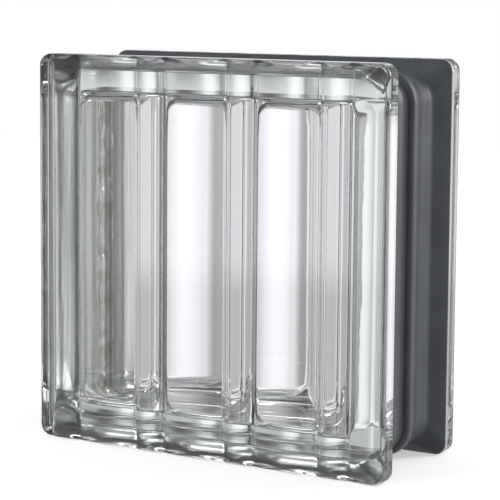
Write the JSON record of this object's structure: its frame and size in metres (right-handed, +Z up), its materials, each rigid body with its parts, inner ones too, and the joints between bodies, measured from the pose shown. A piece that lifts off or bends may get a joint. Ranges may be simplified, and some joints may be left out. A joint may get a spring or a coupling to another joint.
{
  "type": "fluted glass block",
  "caption": "Hollow square glass block with vertical ribs and crowned panels on both faces and a grey lacquered mortar groove round its flanks.",
  "frame": {"origin": "middle of the underside, at the height of the rims it stands on", "axes": "+Z up along the ribs, -Y out of the face the picture shows, +X to that face's right"},
  "size_m": [0.19, 0.08, 0.19],
  "materials": {
    "clear_glass": "clear pressed glass, fire polished",
    "grey_lacquer": "satin grey metallic lacquer"
  },
  "bodies": {
    "root": {"glass_body": "clear_glass", "flank_coating": "grey_lacquer"}
  },
  "joints": []
}
